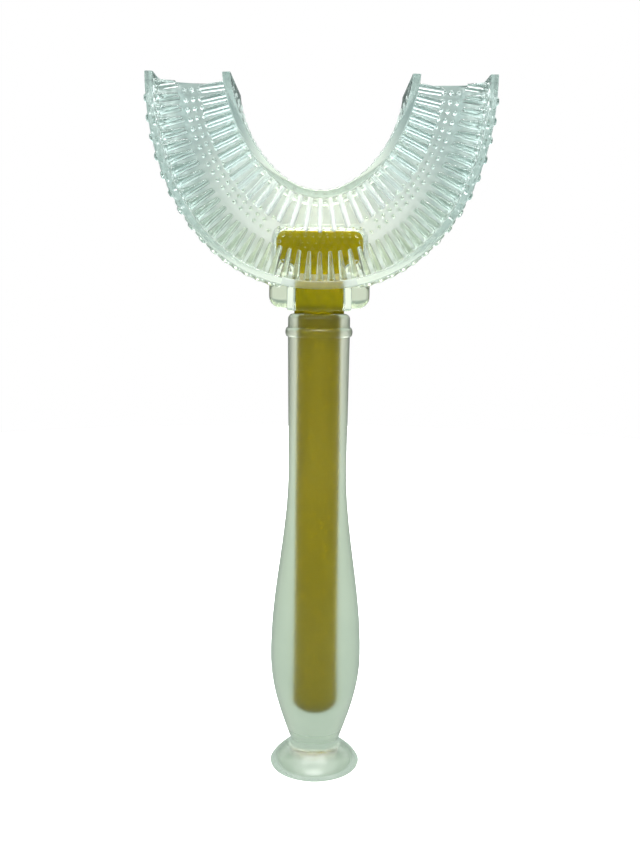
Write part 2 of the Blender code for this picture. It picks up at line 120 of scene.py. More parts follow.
def t_plate(name, spare, bottom):
    """The stem with the plate on top, grown on all sides by a spare width."""
    stem_side = STEM_HALF_WIDTH + spare
    plate_side = PLATE_HALF_WIDTH + spare
    half_depth = PLATE_HALF_THICKNESS + spare
    low = PLATE_BOTTOM - spare
    high = PLATE_TOP + spare
    plate = add_box(name, (-stem_side, -half_depth, bottom), (stem_side, half_depth, high))
    bpy.ops.object.mode_set(mode="EDIT")
    bpy.ops.mesh.bisect(plane_co=(0, 0, low), plane_no=(0, 0, 1))
    for side in (-1, 1):
        pick("FACE", lambda middle, face: face.normal.x * side > 0.9 and middle.z > low)
        bpy.ops.mesh.extrude_region_move(
            TRANSFORM_OT_translate={"value": (side * (PLATE_HALF_WIDTH - STEM_HALF_WIDTH), 0, 0)}
        )
    for x, z, radius in (
        (plate_side, high, PLATE_TOP_CORNER + spare),
        (plate_side, low, PLATE_LOW_CORNER + spare),
        (stem_side, low, PLATE_ARMPIT - spare),
    ):
        pick("EDGE", lambda middle, edge: runs_along(edge, 1)
             and abs(abs(middle.x) - x) < NEAR and abs(middle.z - z) < NEAR)
        bpy.ops.mesh.bevel(offset=radius, segments=6, affect="EDGES")
    pick("EDGE", lambda middle, edge: abs(abs(middle.y) - half_depth) < NEAR and borders_front(edge))
    bpy.ops.mesh.bevel(offset=PLATE_EDGE, segments=4, affect="EDGES")
    bpy.ops.object.mode_set(mode="OBJECT")
    return plate


core = t_plate("yellow_core", 0, STEM_BOTTOM)
deselect()
bpy.ops.mesh.primitive_cylinder_add(
    vertices=64, radius=ROD_RADIUS, depth=ROD_TOP - ROD_BOTTOM, location=(0, 0, (ROD_TOP + ROD_BOTTOM) / 2)
)
rod = bpy.context.object
bpy.ops.object.transform_apply(location=True, rotation=True, scale=True)
bpy.ops.object.mode_set(mode="EDIT")
pick("EDGE", lambda middle, edge: abs(middle.z - ROD_BOTTOM) < NEAR)
bpy.ops.mesh.bevel(offset=ROD_END_ROUND, segments=8, affect="EDGES")
bpy.ops.object.mode_set(mode="OBJECT")
combine(core, rod, "UNION")
work_on(core)
bpy.ops.object.shade_smooth_by_angle(angle=math.radians(32))


def linear(hex_colour):
    """An sRGB hex colour as the linear colour that a shader takes."""
    channels = [int(hex_colour[i:i + 2], 16) / 255 for i in (1, 3, 5)]
    return [c / 12.92 if c <= 0.04045 else ((c + 0.055) / 1.055) ** 2.4 for c in channels] + [1]


def add_node(material, kind, inputs=None, **settings):
    """Adds a node, sets its fields, and links or sets its inputs."""
    node = material.node_tree.nodes.new(kind)
    for field, value in settings.items():
        setattr(node, field, value)
    for name, value in (inputs or {}).items():
        if isinstance(value, bpy.types.NodeSocket):
            material.node_tree.links.new(value, node.inputs[name])
        else:
            node.inputs[name].default_value = value
    return node


def new_material(name):
    """An empty node material."""
    material = bpy.data.materials.new(name)
    material.use_nodes = True
    material.node_tree.nodes.clear()
    return material


def finish_with(material, shader):
    """Makes a shader node the material's surface."""
    add_node(material, "ShaderNodeOutputMaterial", {"Surface": shader.outputs[0]})


# Moulded polypropylene: semi-gloss, with pigment that is a little uneven and a faint ripple from the mould.
# Silicone wets nearly all of it, so its surface mirrors much less than it would in air, and carries light to
# its edges, which the yellow sheen gives. The rod is painted darker, and the stem and plate paler from just
# above the stem's foot: painted shade and painted light. The real streaks and ripple are finer than 1 mm, and
# are drawn at that size so that they show.
PIGMENT_STREAK = 1.0 * MM
MOULD_RIPPLE = 1.0 * MM
yellow = new_material("moulded_yellow_polypropylene")
point = add_node(yellow, "ShaderNodeTexCoord").outputs["Object"]
pigment = add_node(yellow, "ShaderNodeTexNoise", {
    "Vector": point, "Scale": 1 / PIGMENT_STREAK, "Detail": 4.0})
height = add_node(yellow, "ShaderNodeSeparateXYZ", {"Vector": point}).outputs["Z"]
# Painted light and shade by height: darker on the rod, paler on the stem and plate.
light_by_height = add_node(yellow, "ShaderNodeMapRange", {
    "Value": height, "From Min": STEM_BOTTOM, "From Max": STEM_BOTTOM + 2 * MM,
    "To Min": -0.3, "To Max": 0.3})
uneven_and_lit = add_node(yellow, "ShaderNodeMath", {0: pigment.outputs["Fac"], 1: 0.7, 2: light_by_height.outputs[0]},
                  operation="MULTIPLY_ADD")
shade = add_node(yellow, "ShaderNodeValToRGB", {"Fac": uneven_and_lit.outputs[0]})
shade.color_ramp.elements[0].position = 0.05
shade.color_ramp.elements[0].color = linear("#847500")
shade.color_ramp.elements[1].position = 1.0
shade.color_ramp.elements[1].color = linear("#E6C802")
ripple = add_node(yellow, "ShaderNodeTexNoise", {"Vector": point, "Scale": 1 / MOULD_RIPPLE, "Detail": 3.0})
bump = add_node(yellow, "ShaderNodeBump", {
    "Strength": 0.25, "Distance": 0.06 * MM, "Height": ripple.outputs["Fac"]})
shader = add_node(yellow, "ShaderNodeBsdfPrincipled", {
    "Base Color": shade.outputs["Color"],
    "Roughness": 0.36,
    "IOR": 1.49,
    "Specular IOR Level": 0.04,
    "Subsurface Weight": 0.15,
    "Subsurface Radius": (0.9, 0.7, 0.1),
    "Subsurface Scale": 1.2 * MM,
    "Sheen Weight": 0.6,
    "Sheen Roughness": 0.4,
    "Sheen Tint": linear("#F4E890"),
    "Normal": bump.outputs["Normal"],
})
finish_with(yellow, shader)
core.data.materials.clear()
core.data.materials.append(yellow)
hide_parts("handle_core")
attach(core, "handle")

# ---------------------------------------------------------------------------------------------------------
# Grip and suction foot: one overmoulding of frosted translucent silicone. It swells to a bulb in the palm,
# narrows to a waist, and flares into a thin foot with a hollow cup below. The rod stands in it with no gap.
# ---------------------------------------------------------------------------------------------------------
FOOT_RADIUS = 8.8 * MM
FOOT_EDGE = 0.4 * MM
FOOT_EDGE_ROUND = 0.15 * MM
FOOT_TOP = 4.2 * MM
CUP_RADIUS = 7.0 * MM
CUP_DEPTH = 2.4 * MM
WAIST_RADIUS = 4.8 * MM
WAIST_HEIGHT = 5.2 * MM
BULB_RADIUS = 8.78 * MM
BULB_HEIGHT = 22.5 * MM
NECK_RADIUS = 5.54 * MM
NECK_HEIGHT = 60.0 * MM
GRIP_TOP = 89.0 * MM
GRIP_TOP_RADIUS = 5.8 * MM
GRIP_TOP_ROUND = 1.0 * MM
BEAD_HEIGHT = 85.6 * MM
BEAD_HALF = 0.9 * MM
BEAD_STAND = 0.5 * MM
BOND = 0.03 * MM

# Half the section as radius and height: the cup, the foot's slope, its bend into the waist, the bulb, the
# long neck, the bead, the round top edge, and the bore down to the rod's rounded end.
profile = [(0, CUP_DEPTH)]
for angle in np.radians(np.linspace(80, 0, 12)):
    profile.append((CUP_RADIUS * math.cos(angle), CUP_DEPTH * math.sin(angle)))
profile.append((FOOT_RADIUS - FOOT_EDGE_ROUND, 0))
for share in np.linspace(1, 0.12, 20):
    radius = WAIST_RADIUS + (FOOT_RADIUS - WAIST_RADIUS) * (share + math.sin(math.pi / 2 * share)) / 2
    profile.append((radius, FOOT_TOP - (FOOT_TOP - FOOT_EDGE) * share))
leave = np.array(profile[-1])
bend = np.array((WAIST_RADIUS, FOOT_TOP))
meet = np.array((WAIST_RADIUS, WAIST_HEIGHT))
for share in np.linspace(0, 1, 9)[1:-1]:
    profile.append(tuple((1 - share) ** 2 * leave + 2 * share * (1 - share) * bend + share ** 2 * meet))
for share in np.linspace(0, 1, 28):
    radius = WAIST_RADIUS + (BULB_RADIUS - WAIST_RADIUS) * math.sin(math.pi / 2 * share)
    profile.append((radius, WAIST_HEIGHT + (BULB_HEIGHT - WAIST_HEIGHT) * share))
for share in np.linspace(0, 1, 40)[1:]:
    swell = (1 + math.cos(math.pi * share)) / 2
    radius = NECK_RADIUS + (BULB_RADIUS - NECK_RADIUS) * swell
    profile.append((radius, BULB_HEIGHT + (NECK_HEIGHT - BULB_HEIGHT) * share))
for angle in np.radians(np.linspace(-90, 90, 12)):
    radius = GRIP_TOP_RADIUS + BEAD_STAND * math.cos(angle)
    profile.append((radius, BEAD_HEIGHT + BEAD_HALF * math.sin(angle)))
for angle in np.radians(np.linspace(0, 90, 8)):
    radius = GRIP_TOP_RADIUS - GRIP_TOP_ROUND + GRIP_TOP_ROUND * math.cos(angle)
    profile.append((radius, GRIP_TOP - GRIP_TOP_ROUND + GRIP_TOP_ROUND * math.sin(angle)))
bore = ROD_RADIUS - BOND
end_round = ROD_END_ROUND - BOND
profile.append((bore, GRIP_TOP))
for angle in np.radians(np.linspace(0, 90, 8)):
    radius = bore - end_round + end_round * math.cos(angle)
    profile.append((radius, ROD_BOTTOM + BOND + end_round * (1 - math.sin(angle))))
profile.append((0, ROD_BOTTOM + BOND))

deselect()
bpy.ops.mesh.primitive_circle_add(vertices=len(profile), radius=GRIP_TOP)
grip = bpy.context.object
grip.name = grip.data.name = "frosted_grip"
outline = np.array([(radius, 0, z) for radius, z in profile])
grip.data.vertices.foreach_set("co", outline.ravel())
bpy.ops.object.mode_set(mode="EDIT")
pick("EDGE", lambda middle, edge: all(abs(corner.co.x) < NEAR for corner in edge.verts))
bpy.ops.mesh.delete(type="EDGE")
bpy.ops.object.mode_set(mode="OBJECT")
lathe = grip.modifiers.new("lathe", "SCREW")
lathe.steps = lathe.render_steps = 112
lathe.use_merge_vertices = True
lathe.merge_threshold = NEAR
bpy.ops.object.modifier_apply(modifier=lathe.name)
bpy.ops.object.mode_set(mode="EDIT")
bpy.ops.mesh.select_all(action="SELECT")
bpy.ops.mesh.remove_doubles(threshold=NEAR / 2)
bpy.ops.mesh.normals_make_consistent(inside=False)
bpy.ops.object.mode_set(mode="OBJECT")
bpy.ops.object.shade_smooth_by_angle(angle=math.radians(38))

# Silicone from a bead-blasted mould: the frosted skin blurs what stands behind it, and the rubber is milky,
# with a mottled tint that is painted darker towards the foot and paler up the neck, a painted shade. Seen
# edge on, its colour is painted darker, a painted shade that draws its outlines. The blast's real grain is
# under
# 0.1 mm, and is drawn at 0.4 mm so that it shows.
MILK_CLOUD = 6.25 * MM
BLAST_GRAIN = 0.4 * MM
frosted = new_material("frosted_translucent_silicone")
point = add_node(frosted, "ShaderNodeTexCoord").outputs["Object"]
cloud = add_node(frosted, "ShaderNodeTexNoise", {"Vector": point, "Scale": 1 / MILK_CLOUD, "Detail": 3.0})
height = add_node(frosted, "ShaderNodeSeparateXYZ", {"Vector": point}).outputs["Z"]
# Painted shade: the tint darkens towards the foot and pales up the neck.
shade_by_height = add_node(frosted, "ShaderNodeMapRange", {
    "Value": height, "From Min": 0.0, "From Max": NECK_HEIGHT, "To Min": -0.15, "To Max": 0.7})
mottle_and_shade = add_node(frosted, "ShaderNodeMath", {0: cloud.outputs["Fac"], 1: 0.4, 2: shade_by_height.outputs[0]},
                  operation="MULTIPLY_ADD")
milk_and_shade = add_node(frosted, "ShaderNodeValToRGB", {"Fac": mottle_and_shade.outputs[0]})
milk_and_shade.color_ramp.elements[0].position = 0.1
milk_and_shade.color_ramp.elements[0].color = linear("#D2DACC")
milk_and_shade.color_ramp.elements[1].position = 0.9
milk_and_shade.color_ramp.elements[1].color = linear("#F8FBEA")
# Painted shade: the colour darkens where the skin is seen edge on, which draws dark outlines.
facing = add_node(frosted, "ShaderNodeLayerWeight", {"Blend": 0.5}).outputs["Facing"]
edge_shade = add_node(frosted, "ShaderNodeMapRange", {
    "Value": facing, "From Min": 0.55, "From Max": 1.0, "To Min": 0.0, "To Max": 0.9})
shaded_edges = add_node(frosted, "ShaderNodeMixRGB", {
    "Fac": edge_shade.outputs[0], "Color1": milk_and_shade.outputs["Color"], "Color2": linear("#747E7A")})
polish = add_node(frosted, "ShaderNodeMapRange", {
    "Value": height, "From Min": FOOT_TOP, "From Max": 2 * WAIST_HEIGHT, "To Min": 0.24, "To Max": 0.3})
blast = add_node(frosted, "ShaderNodeTexNoise", {"Vector": point, "Scale": 1 / BLAST_GRAIN, "Detail": 2.0})
bump = add_node(frosted, "ShaderNodeBump", {
    "Strength": 0.2, "Distance": 0.05 * MM, "Height": blast.outputs["Fac"]})
shader = add_node(frosted, "ShaderNodeBsdfPrincipled", {
    "Base Color": shaded_edges.outputs["Color"],
    "Roughness": polish.outputs[0],
    "IOR": 1.41,
    "Transmission Weight": 1.0,
    "Normal": bump.outputs["Normal"],
})
finish_with(frosted, shader)
grip.data.materials.clear()
grip.data.materials.append(frosted)
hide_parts("grip_sleeve", "suction_foot")
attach(grip, "handle")

# ---------------------------------------------------------------------------------------------------------
# Brush head: one moulding of clear liquid silicone rubber. A strip of H section is bent round the jaw: its
# outer wall, its tongue wall and the floor between them make a tooth channel on each face.
# ---------------------------------------------------------------------------------------------------------
HEAD_TOP = 130.0 * MM
HEAD_HALF_DEPTH = 11.0 * MM
OUTER_HALF_WIDTH = 30.1 * MM
OUTER_HEIGHT = 36.4 * MM
OUTER_POWERS = (2.15, 2.15)
TONGUE_HALF_WIDTH = 15.5 * MM
TONGUE_HEIGHT = 19.4 * MM
TONGUE_POWERS = (2.0, 1.5)
WALL = 1.4 * MM
FLOOR_HALF = 1.0 * MM
RIM_ROUND = 0.2 * MM
OUTER_FILLET = 4.6 * MM
TONGUE_FILLET = 0.7 * MM
STRIP_LENGTH = 100.0 * MM
STRIP_WIDTH = 12.0 * MM
ARCH_STEPS = 132
LIT_RIM_HALF_WIDTH = 6.2 * MM


class ArchLine:
    """Half a superellipse from the left tip round the front to the right tip, walked by share of its length.
    The first power rounds its front, the second its arms."""

    def __init__(self, half_width, height, powers):
        angle = np.linspace(0, np.pi, 4001)
        self.x = -np.sign(np.cos(angle)) * np.abs(np.cos(angle)) ** (2 / powers[0]) * half_width
        self.z = HEAD_TOP - height * np.clip(np.sin(angle), 0, None) ** (2 / powers[1])
        steps = np.hypot(np.diff(self.x), np.diff(self.z))
        self.walked = np.concatenate([[0], np.cumsum(steps)])
        self.length = self.walked[-1]

    def at(self, share, out=0.0):
        """Points (x, z) at these shares, moved away from the tongue, and the directions that lead away."""
        nudge = 0.002
        here = [np.interp(np.asarray(share) * self.length, self.walked, line) for line in (self.x, self.z)]
        ends = [np.interp(np.clip(np.asarray(share) + way, 0, 1) * self.length, self.walked, line)
                for way in (-nudge, nudge) for line in (self.x, self.z)]
        along = np.stack([ends[2] - ends[0], ends[3] - ends[1]], -1)
        along /= np.linalg.norm(along, axis=-1, keepdims=True)
        away = np.stack([along[..., 1], -along[..., 0]], -1)
        return np.stack(here, -1) + away * np.asarray(out)[..., None], away

    def even(self, out, ends, count):
        """Shares that lie evenly along the line when it is moved by out, and stay clear of its ends."""
        shares = np.linspace(0, 1, 801)
        points, _ = self.at(shares, np.full(len(shares), out))
        walked = np.concatenate([[0], np.cumsum(np.linalg.norm(np.diff(points, axis=0), axis=1))])
        return np.interp(np.linspace(ends, walked[-1] - ends, count), walked, shares)


outer = ArchLine(OUTER_HALF_WIDTH, OUTER_HEIGHT, OUTER_POWERS)
tongue = ArchLine(TONGUE_HALF_WIDTH, TONGUE_HEIGHT, TONGUE_POWERS)

# Liquid silicone rubber from a polished mould: water clear with a faint grey-green cast, glossy, and with the
# soft unevenness of a thin flexible wall. Nearer the plate the cast is painted paler, and the tongue strands
# and the channel floor are made cloudier, so whiter, and clear up the arms: painted light. The collar wings
# have a darker cast, a painted shade. Each row gives the cast near the plate and far from it, the clearness
# near it, the roughness, and the sheen of its edges.
WALLS, CHEEK_STRANDS, TONGUE_STRANDS, CHANNEL, SHADED_WINGS = range(5)
WALL_WAVE = 4.0 * MM
CAST_CLOUD = 14.0 * MM
silicones = []
for name, near_cast, far_cast, lit_clearness, roughness, edge_sheen in (
    ("clear_liquid_silicone_rubber", "#FBFFEC", "#DEEAE8", 1.0, 0.12, 0.0),
    ("clear_silicone_cheek_strands", "#FFFFF0", "#DCE5E3", 1.0, 0.16, 0.05),
    ("clear_silicone_tongue_strands", "#FFFFFF", "#DCE6E5", 0.5, 0.2, 0.4),
    ("clear_silicone_channel_floor", "#FCFFF8", "#D0DCDA", 0.88, 0.36, 0.0),
    # The collar wings: a darker copy of the clear silicone, a painted shade.
    ("clear_silicone_shaded_collar_wings", "#CFD6C4", "#CFD6C4", 1.0, 0.14, 0.0),
):
    clear = new_material(name)
    point = add_node(clear, "ShaderNodeTexCoord").outputs["Object"]
    wave = add_node(clear, "ShaderNodeTexNoise", {"Vector": point, "Scale": 1 / WALL_WAVE, "Detail": 2.0})
    bump = add_node(clear, "ShaderNodeBump", {
        "Strength": 0.3, "Distance": 0.03 * MM, "Height": wave.outputs["Fac"]})
    cloud = add_node(clear, "ShaderNodeTexNoise", {"Vector": point, "Scale": 1 / CAST_CLOUD, "Detail": 2.0})
    off_plate = add_node(clear, "ShaderNodeVectorMath", {0: point, 1: (0, 0, PLATE_TOP)},
                         operation="DISTANCE")
    spread = add_node(clear, "ShaderNodeMapRange", {
        "Value": off_plate.outputs["Value"], "From Min": PLATE_HALF_WIDTH, "From Max": 4 * PLATE_HALF_WIDTH})
    # Painted light: nearer the plate the cast is paler and the strands and floor cloudier, so whiter.
    lit_clearing = add_node(clear, "ShaderNodeMapRange", {
        "Value": spread.outputs[0], "From Min": 0.1, "From Max": 0.5, "To Min": lit_clearness, "To Max": 1.0})
    uneven_and_lit = add_node(clear, "ShaderNodeMath", {0: cloud.outputs["Fac"], 1: 0.3, 2: spread.outputs[0]},
                      operation="MULTIPLY_ADD")
    cast = add_node(clear, "ShaderNodeValToRGB", {"Fac": uneven_and_lit.outputs[0]})
    cast.color_ramp.elements[0].position = 0.1
    cast.color_ramp.elements[0].color = linear(near_cast)
    cast.color_ramp.elements[1].position = 0.9
    cast.color_ramp.elements[1].color = linear(far_cast)
    shader = add_node(clear, "ShaderNodeBsdfPrincipled", {
        "Base Color": cast.outputs["Color"],
        "Roughness": roughness,
        "IOR": 1.41,
        "Transmission Weight": lit_clearing.outputs[0],
        "Sheen Weight": edge_sheen,
        "Sheen Roughness": 0.35,
        "Normal": bump.outputs["Normal"],
    })
    finish_with(clear, shader)
    silicones.append(clear)


def coat(piece, finish):
    """Gives a piece all the silicones, and its faces one of them."""
    for clear in silicones:
        piece.data.materials.append(clear)
    for face in piece.data.polygons:
        face.material_index = finish


# The strip lies along x, with its width along z, until it is bent between the two arch lines.
head = add_box("silicone_brush_head", (0, -FLOOR_HALF, 0), (STRIP_LENGTH, FLOOR_HALF, STRIP_WIDTH))
bpy.ops.object.mode_set(mode="EDIT")
for cut in (WALL, STRIP_WIDTH - WALL):
    bpy.ops.mesh.select_all(action="SELECT")
    bpy.ops.mesh.bisect(plane_co=(0, 0, cut), plane_no=(0, 0, 1))
for side in (-1, 1):
    pick("FACE", lambda middle, face: face.normal.y * side > 0.9 and not WALL < middle.z < STRIP_WIDTH - WALL)
    bpy.ops.mesh.extrude_region_move(
        TRANSFORM_OT_translate={"value": (0, side * (HEAD_HALF_DEPTH - FLOOR_HALF), 0)}
    )
pick("EDGE", lambda middle, edge: runs_along(edge, 0) and abs(middle.y) > HEAD_HALF_DEPTH - NEAR)
bpy.ops.mesh.bevel(offset=RIM_ROUND, segments=3, affect="EDGES")
for cut, fillet in ((WALL, OUTER_FILLET), (STRIP_WIDTH - WALL, TONGUE_FILLET)):
    pick("EDGE", lambda middle, edge: runs_along(edge, 0) and abs(middle.z - cut) < NEAR
         and abs(abs(middle.y) - FLOOR_HALF) < NEAR)
    bpy.ops.mesh.bevel(offset=fillet, segments=6, affect="EDGES")
pick("EDGE", lambda middle, edge: runs_along(edge, 0))
bpy.ops.mesh.subdivide(number_cuts=ARCH_STEPS - 1)
bpy.ops.object.mode_set(mode="OBJECT")

coat(head, WALLS)
for face in head.data.polygons:
    in_channel = WALL + NEAR < face.center.z < STRIP_WIDTH - WALL - TONGUE_FILLET
    on_rim = abs(face.center.y) > HEAD_HALF_DEPTH - RIM_ROUND and face.center.z < WALL
    # The rim's faces over the stem take the channel floor's finish, whiter near the plate: a painted veil of
    # light.
    over_stem = abs(face.center.x - STRIP_LENGTH / 2) < LIT_RIM_HALF_WIDTH
    if (in_channel and abs(face.normal.x) < 0.9) or (on_rim and over_stem):
        face.material_index = CHANNEL

corners = np.empty(len(head.data.vertices) * 3)
head.data.vertices.foreach_get("co", corners)
corners = corners.reshape(-1, 3)
shares = corners[:, 0] / STRIP_LENGTH
on_outer, _ = outer.at(shares, -corners[:, 2])
on_tongue, _ = tongue.at(shares, STRIP_WIDTH - corners[:, 2])
bent = np.where((corners[:, 2] < STRIP_WIDTH / 2)[:, None], on_outer, on_tongue)
corners[:, 0] = bent[:, 0]
corners[:, 2] = bent[:, 1]
head.data.vertices.foreach_set("co", corners.ravel())
work_on(head)
bpy.ops.object.mode_set(mode="EDIT")
bpy.ops.mesh.select_all(action="SELECT")
bpy.ops.mesh.normals_make_consistent(inside=False)
bpy.ops.object.mode_set(mode="OBJECT")

# Socket and collar: the floor thickens to a round-cornered block that holds the plate, and below the arch a
# lip with a wing on each side grips the stem. The pocket inside is the plate's own shape with little room.
SOCKET_HALF_WIDTH = 8.85 * MM
SOCKET_HALF_DEPTH = 2.5 * MM
SOCKET_BOTTOM = 96.0 * MM
SOCKET_TOP = 105.3 * MM
SOCKET_CORNER = 2.6 * MM
SOCKET_EDGE = 0.9 * MM
THROAT_HALF_WIDTH = 7.6 * MM
THROAT_BOTTOM = 94.9 * MM
THROAT_TOP = 100.0 * MM
THROAT_CORNER = 1.0 * MM
THROAT_EDGE = 0.3 * MM
WING_HALF_WIDTH = 9.35 * MM
WING_HALF_DEPTH = 1.9 * MM
WING_BOTTOM = 90.0 * MM
WING_TOP = 96.0 * MM
WING_CORNER = 2.2 * MM
WING_EDGE = 1.8 * MM
LIP_HALF_WIDTH = 6.0 * MM
LIP_HALF_DEPTH = 3.2 * MM
LIP_BOTTOM = 89.6 * MM
LIP_TOP = 94.8 * MM
LIP_EDGE = 0.6 * MM
POCKET_ROOM = 0.12 * MM
POCKET_OVERRUN = 2.0 * MM


def rounded_block(name, half_width, half_depth, bottom, top, corner, corner_end, edge):
    """A box whose corners at one end, and then all its edges, are rounded."""
    block = add_box(name, (-half_width, -half_depth, bottom), (half_width, half_depth, top))
    bpy.ops.object.mode_set(mode="EDIT")
    pick("EDGE", lambda middle, line: runs_along(line, 1) and abs(middle.z - corner_end) < NEAR)
    bpy.ops.mesh.bevel(offset=corner, segments=7, affect="EDGES")
    pick("EDGE", lambda middle, line: abs(abs(middle.y) - half_depth) < NEAR)
    bpy.ops.mesh.bevel(offset=edge, segments=5, affect="EDGES")
    bpy.ops.object.mode_set(mode="OBJECT")
    return block


socket = rounded_block("socket", SOCKET_HALF_WIDTH, SOCKET_HALF_DEPTH, SOCKET_BOTTOM, SOCKET_TOP,
                       SOCKET_CORNER, SOCKET_TOP, SOCKET_EDGE)
coat(socket, CHANNEL)
for face in socket.data.polygons:
    if abs(face.normal.y) > 0.95:
        face.material_index = WALLS
combine(head, socket, "UNION")
throat = rounded_block("throat", THROAT_HALF_WIDTH, SOCKET_HALF_DEPTH, THROAT_BOTTOM, THROAT_TOP,
                       THROAT_CORNER, THROAT_TOP, THROAT_EDGE)
combine(head, throat, "UNION")
wings = rounded_block("wings", WING_HALF_WIDTH, WING_HALF_DEPTH, WING_BOTTOM, WING_TOP,
                      WING_CORNER, WING_BOTTOM, WING_EDGE)
# The wings take the darker copy of the clear silicone: painted shade.
coat(wings, SHADED_WINGS)
combine(head, wings, "UNION")
lip = rounded_block("lip", LIP_HALF_WIDTH, LIP_HALF_DEPTH, LIP_BOTTOM, LIP_TOP,
                    LIP_EDGE, LIP_BOTTOM, LIP_EDGE)
combine(head, lip, "UNION")
pocket = t_plate("pocket", POCKET_ROOM, LIP_BOTTOM - POCKET_OVERRUN)
combine(head, pocket, "DIFFERENCE")

# Bristles: 47 columns on the outer wall and 33 on the tongue wall, two rows on each face, moulded in one
# with the walls. They taper to a rounded tip, and are shortest at the tips of the arms.
END_ROOM = 1.6 * MM
BRISTLE_ROWS = np.array([-6.2, -9.2, 6.2, 9.2]) * MM
SOCKET_ROOM = 0.7 * MM
ROOT = 0.3 * MM


def strand(name, base_radius, tip_radius, length, tip_round, sides):
    """One bristle, nub or stud that stands on the origin and points up, its root just below."""
    deselect()
    bpy.ops.mesh.primitive_cone_add(
        vertices=sides, radius1=base_radius, radius2=tip_radius, depth=length + ROOT,
        location=(0, 0, (length - ROOT) / 2),
    )
    template = bpy.context.object
    template.name = template.data.name = name
    bpy.ops.object.transform_apply(location=True, rotation=True, scale=True)
    bpy.ops.object.mode_set(mode="EDIT")
    pick("EDGE", lambda middle, edge: abs(middle.z - length) < NEAR)
    bpy.ops.mesh.bevel(offset=tip_round, segments=2, affect="EDGES")
    bpy.ops.object.mode_set(mode="OBJECT")
    return template


def standing(point, direction, stretch=1.0):
    """The matrix that stands a template at a point, pointing that way, stretched along itself."""
    swing = Vector(direction).to_track_quat("Z", "Y").to_matrix().to_4x4()
    return np.array(Matrix.Translation(point) @ swing @ Matrix.Diagonal((1, 1, stretch, 1)))


def grow(name, template, places, finish):
    """Joins to the head a copy of the template at each place, a 4x4 matrix; the template goes."""
    corners = np.empty(len(template.data.vertices) * 3)
    template.data.vertices.foreach_get("co", corners)
    corners = np.c_[corners.reshape(-1, 3), np.ones(len(corners) // 3)]
    faces = [list(face.vertices) for face in template.data.polygons]
    points = np.einsum("nij,kj->nki", np.asarray(places), corners)[..., :3].reshape(-1, 3)
    all_faces = [[index + len(corners) * copy for index in face]
                 for copy in range(len(places)) for face in faces]
    mesh = bpy.data.meshes.new(name)
    mesh.from_pydata(points.tolist(), [], all_faces)
    made = bpy.data.objects.new(name, mesh)
    coat(made, finish)
    bpy.context.collection.objects.link(made)
    bpy.data.objects.remove(template)
    combine(head, made, "UNION")


# Each row: the wall's line, which way its bristles point, columns, radius at the root and at the tip, the
# tip's round, the lengths at these shares of the arch from an arm's tip, all in mm, and the finish.
for name, line, way, columns, base, tip, tip_round, spots, lengths, finish in (
    ("outer_bristles", outer, -1, 47, 0.72, 0.30, 0.20, (0, 0.12, 0.19), (3.6, 4.6, 5.2), CHEEK_STRANDS),
    ("tongue_bristles", tongue, 1, 33, 0.47, 0.40, 0.22, (0, 0.25, 0.5), (4.2, 5.5, 5.6), TONGUE_STRANDS),
):
    places = []
    for share in line.even(way * WALL, END_ROOM, columns):
        (x, z), away = line.at(share, way * WALL)
        stretch = np.interp(min(share, 1 - share), spots, lengths) / lengths[-1]
        for y in BRISTLE_ROWS:
            if abs(x) > SOCKET_HALF_WIDTH + SOCKET_ROOM or abs(y) > SOCKET_HALF_DEPTH + SOCKET_ROOM:
                places.append(standing((x, y, z), (way * away[0], 0, way * away[1]), stretch))
    bristle = strand("bristle", base * MM, tip * MM, lengths[-1] * MM, tip_round * MM, sides=12)
    grow(name, bristle, places, finish)

# Nubs: short pegs in three columns along the middle of each channel floor, and a finer field over the plate.
NUB_COUNT = 49
NUB_COLUMNS = np.array([6.6, 7.9, 9.2]) * MM
NUB_ROOM = 0.5 * MM
places = []
for share in outer.even(0, END_ROOM, NUB_COUNT):
    near, _ = tongue.at(share)
    far, _ = outer.at(share)
    across = (far - near) / np.linalg.norm(far - near)
    for column in NUB_COLUMNS:
        x, z = near + across * column
        if abs(x) > SOCKET_HALF_WIDTH + NUB_ROOM or z > SOCKET_TOP + NUB_ROOM:
            for side in (-1, 1):
                places.append(standing((x, side * FLOOR_HALF, z), (0, side, 0)))
nub = strand("nub", base_radius=0.48 * MM, tip_radius=0.3 * MM, length=0.9 * MM, tip_round=0.2 * MM,
             sides=8)
grow("floor_nubs", nub, places, WALLS)

FIELD_PITCH = 1.35 * MM
FIELD_BOTTOM = 98.6 * MM
places = []
for row in range(6):
    z = FIELD_BOTTOM + row * FIELD_PITCH * 0.866
    for column in range(-6, 7):
        x = (column + 0.5 * (row % 2)) * FIELD_PITCH
        if abs(x) < PLATE_HALF_WIDTH - SOCKET_ROOM:
            for side in (-1, 1):
                places.append(standing((x, side * SOCKET_HALF_DEPTH, z), (0, side, 0)))
nub = strand("nub", base_radius=0.42 * MM, tip_radius=0.28 * MM, length=0.4 * MM, tip_round=0.14 * MM,
             sides=8)
grow("socket_nubs", nub, places, WALLS)

